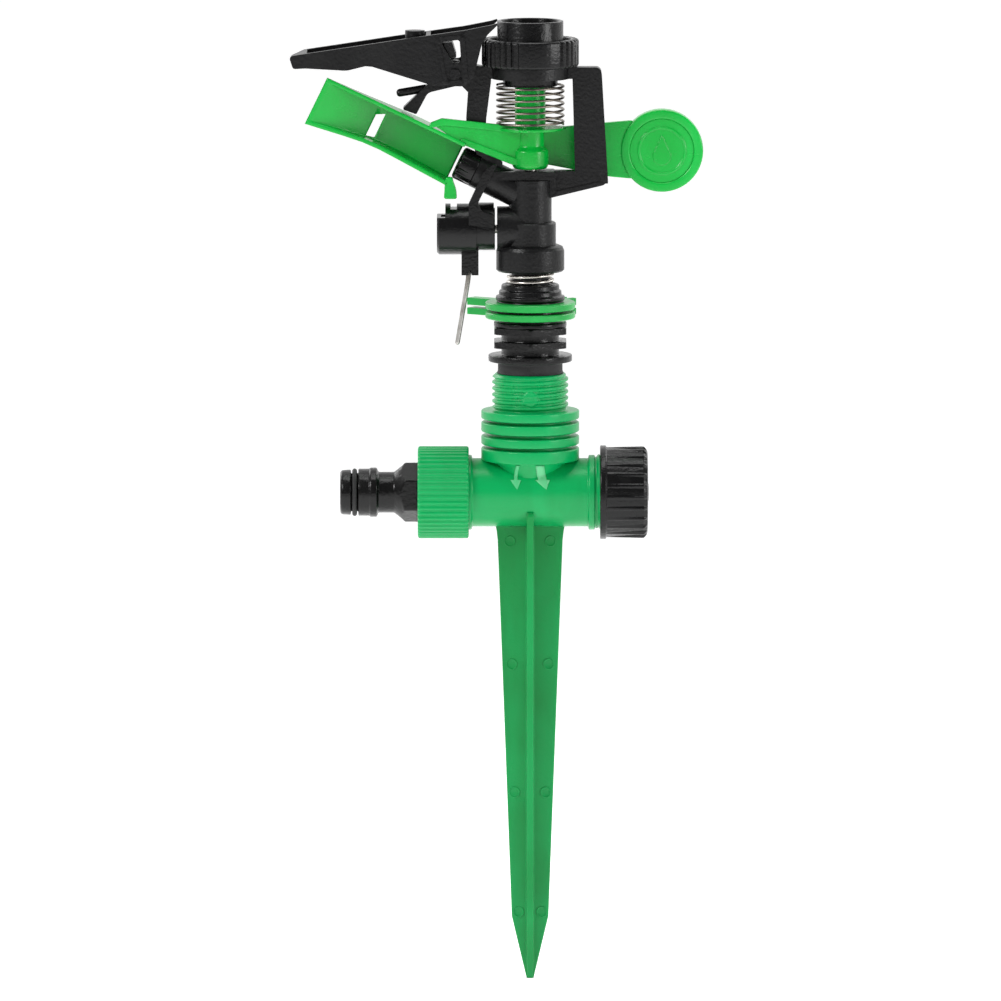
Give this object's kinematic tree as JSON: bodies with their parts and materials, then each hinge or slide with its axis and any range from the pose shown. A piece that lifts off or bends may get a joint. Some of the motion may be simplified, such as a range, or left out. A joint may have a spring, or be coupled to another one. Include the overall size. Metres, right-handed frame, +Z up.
{
  "type": "impact sprinkler",
  "caption": "Plastic impact sprinkler head on a ground-spike T fitting with hose inlet, end cap, swinging arm, trip lever and jet deflector.",
  "frame": {"origin": "on the riser's axis at ground level, in line with the underside of the T's tube", "axes": "+Z up the riser; the jet leaves towards -X; the front, where the reversing lever and the bucket's open side are, faces -Y"},
  "size_m": [0.1429, 0.034, 0.3345],
  "materials": {
    "base_green": "satin injection moulding",
    "arm_green": "satin injection moulding",
    "black_plastic": "fine satin",
    "steel": "bright wire",
    "black_rubber": "matte"
  },
  "bodies": {
    "base": {"spike_body": "base_green", "riser_sleeve": "black_plastic", "sleeve_seal": "black_rubber", "dust_cap": "black_plastic", "stem_spring": "steel"},
    "hose_inlet": {"hose_nipple": "black_plastic", "nipple_o_ring": "black_rubber", "union_washer": "black_rubber"},
    "union_nut": {"union_nut": "base_green"},
    "end_cap_seal": {"end_cap_washer": "black_rubber"},
    "end_cap": {"end_cap": "black_plastic"},
    "collar_lower": {"trip_collar_lower": "arm_green"},
    "collar_upper": {"trip_collar_upper": "arm_green"},
    "head": {"head_body": "black_plastic", "stem_tube": "black_plastic", "stem_washers": "black_rubber", "nozzle_tip": "black_plastic", "arm_pivot_pin": "steel", "trip_pivot_pin": "steel", "deflector_pin": "steel", "trip_spring": "steel"},
    "arm": {"impact_arm": "arm_green", "arm_spring": "steel", "counterweight_slug": "steel", "counterweight_cover": "arm_green"},
    "tension_cap": {"tension_cap": "black_plastic"},
    "trip": {"trip_barrel": "black_plastic", "reversing_lever": "black_plastic", "trip_wire": "steel"},
    "deflector": {"deflector": "black_plastic", "deflector_link": "black_plastic"}
  },
  "joints": [
    {"name": "head_turn", "type": "hinge", "parent": "base", "child": "head", "pos_m": [0, 0, 0.08], "axis": [0, 0, 1], "range_deg": [-8, 225]},
    {"name": "arm_swing", "type": "hinge", "parent": "head", "child": "arm", "pos_m": [0, 0, 0.14], "axis": [0, 0, 1], "range_deg": [0, 80], "stiffness_Nm_per_rad": 0.06, "springref_deg": -22.92, "deforming": ["arm_spring"]},
    {"name": "deflector_tilt", "type": "hinge", "parent": "head", "child": "deflector", "pos_m": [-0.026, 0, 0.1585], "axis": [0, 1, 0], "range_deg": [-3, 4]},
    {"name": "trip_toggle", "type": "hinge", "parent": "head", "child": "trip", "pos_m": [-0.02, 0, 0.1038], "axis": [1, 0, 0], "range_deg": [0, 15]},
    {"name": "tension_cap_turn", "type": "hinge", "parent": "head", "child": "tension_cap", "pos_m": [0, 0, 0.165], "axis": [0, 0, 1], "range_deg": [-180, 180]},
    {"name": "collar_lower_turn", "type": "hinge", "parent": "base", "child": "collar_lower", "pos_m": [0, 0, 0.074], "axis": [0, 0, 1], "range_deg": [-70, 0]},
    {"name": "collar_upper_turn", "type": "hinge", "parent": "base", "child": "collar_upper", "pos_m": [0, 0, 0.0774], "axis": [0, 0, 1], "range_deg": [-70, 0]},
    {"name": "end_cap_travel", "type": "slide", "parent": "base", "child": "end_cap_seal", "axis": [1, 0, 0], "range_m": [0, 0.0132]},
    {"name": "end_cap_turn", "type": "hinge", "parent": "end_cap_seal", "child": "end_cap", "pos_m": [0.03, 0, 0.012], "axis": [1, 0, 0], "range_deg": [0, 2163]},
    {"name": "inlet_travel", "type": "slide", "parent": "base", "child": "hose_inlet", "axis": [-1, 0, 0], "range_m": [0, 0.011]},
    {"name": "union_nut_turn", "type": "hinge", "parent": "hose_inlet", "child": "union_nut", "pos_m": [-0.03, 0, 0.012], "axis": [-1, 0, 0], "range_deg": [0, 1803]}
  ],
  "couplings": [
    {"joint": "end_cap_turn", "follows": "end_cap_travel", "rad_per_m": 2856},
    {"joint": "union_nut_turn", "follows": "inlet_travel", "rad_per_m": 2856}
  ]
}
